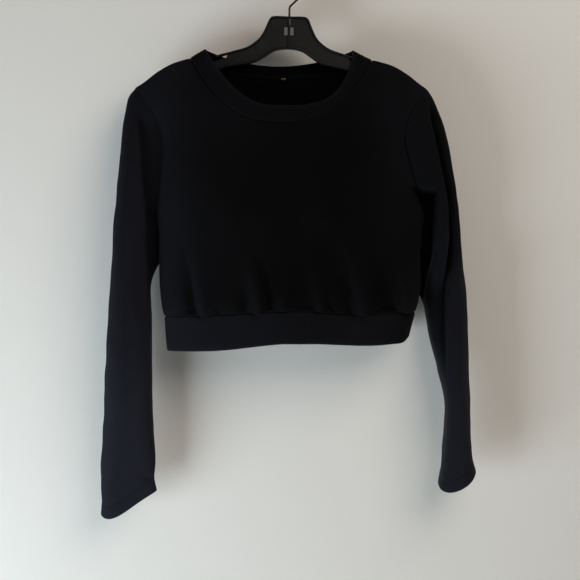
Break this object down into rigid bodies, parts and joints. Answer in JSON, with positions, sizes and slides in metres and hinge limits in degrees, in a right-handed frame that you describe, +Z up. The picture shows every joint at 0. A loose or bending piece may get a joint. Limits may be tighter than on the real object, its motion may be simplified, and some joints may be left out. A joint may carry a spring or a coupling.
{
  "type": "cropped sweatshirt on a clothes hanger",
  "caption": "Cropped crew-neck sweatshirt with long set-in sleeves and a gathered waistband, hanging empty on a plastic clothes hanger with a wire hook.",
  "frame": {"origin": "under the top of the hook, where a rail bears", "axes": "+Z up, -Y out of the front of the garment, +X to the wearer's left, which is the viewer's right"},
  "size_m": [0.5417, 0.1157, 0.7954],
  "materials": {
    "cloth": "black cotton fleece jersey, matte, faint nap",
    "tape": "matte woven tape",
    "plastic": "black moulded plastic, satin",
    "pad": "plain grey plastic, satin",
    "wire": "dark bronzed steel wire"
  },
  "bodies": {
    "root": {"front": "cloth", "back": "cloth", "sleeve_left": "cloth", "sleeve_right": "cloth", "neckband": "cloth", "waistband": "cloth", "label_stub": "tape", "hanger_body": "plastic", "pad_left": "pad", "pad_right": "pad", "hanger_hook": "wire"}
  },
  "joints": []
}
